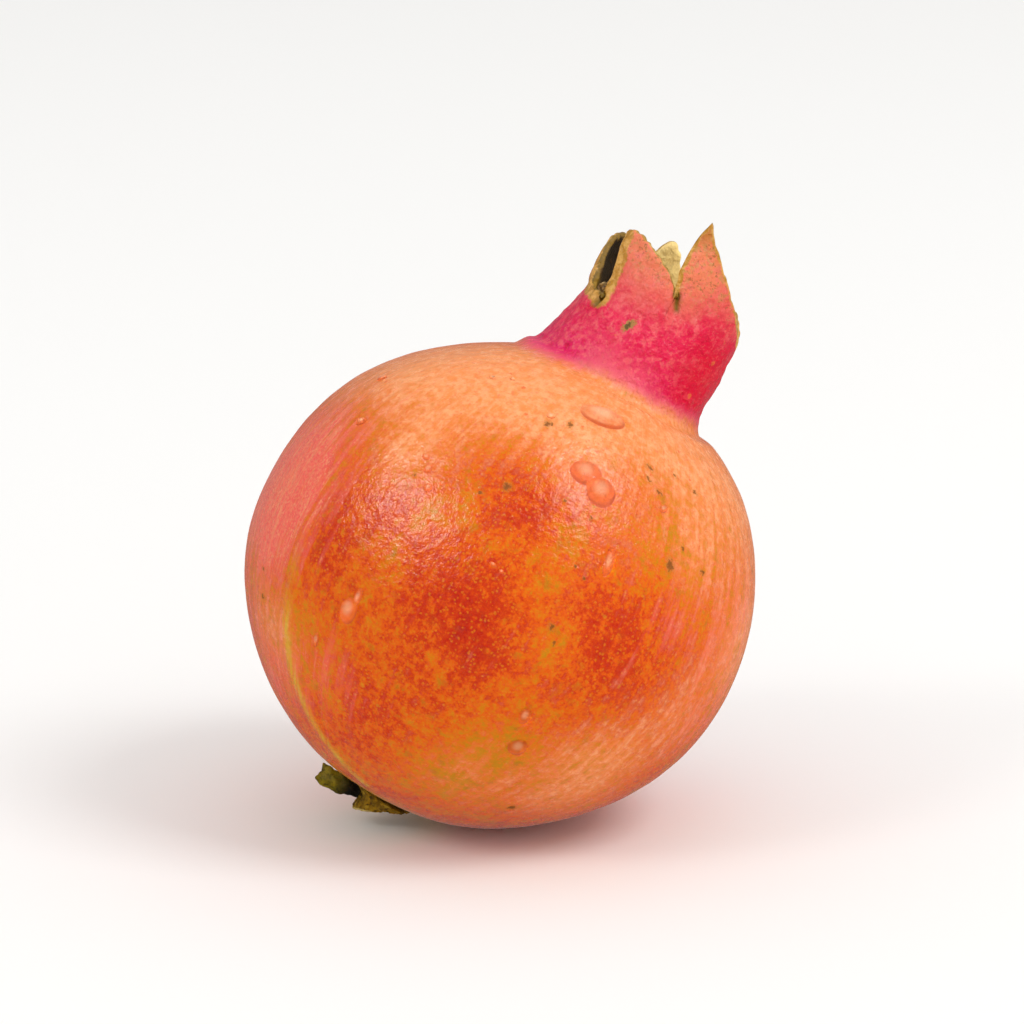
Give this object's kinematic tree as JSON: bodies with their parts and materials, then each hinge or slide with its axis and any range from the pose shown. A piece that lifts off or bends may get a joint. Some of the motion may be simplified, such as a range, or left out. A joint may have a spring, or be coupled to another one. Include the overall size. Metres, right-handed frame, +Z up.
{
  "type": "pomegranate",
  "caption": "Whole ripe pomegranate lying on a small flat spot, with an open calyx crown, dried stamens, a cut stem stub and a torn leaf.",
  "frame": {"origin": "middle of the small flat spot that the fruit rests on, straight under its body", "axes": "+Z up from the surface; the crown leans from +Z towards +X and a little towards +Y; the viewer looks along +Y"},
  "size_m": [0.0927, 0.0924, 0.1109],
  "materials": {
    "rind": "smooth, slightly waxy rind, orange-red with pink and yellow-green patches",
    "dried_stamen": "dry and dull",
    "stem_bark": "rough bark with a cut end",
    "torn_leaf": "dull olive, dried at the tear"
  },
  "bodies": {
    "root": {"fruit": "rind", "stamens": "dried_stamen", "stem": "stem_bark", "leaf_stub": "torn_leaf"}
  },
  "joints": []
}
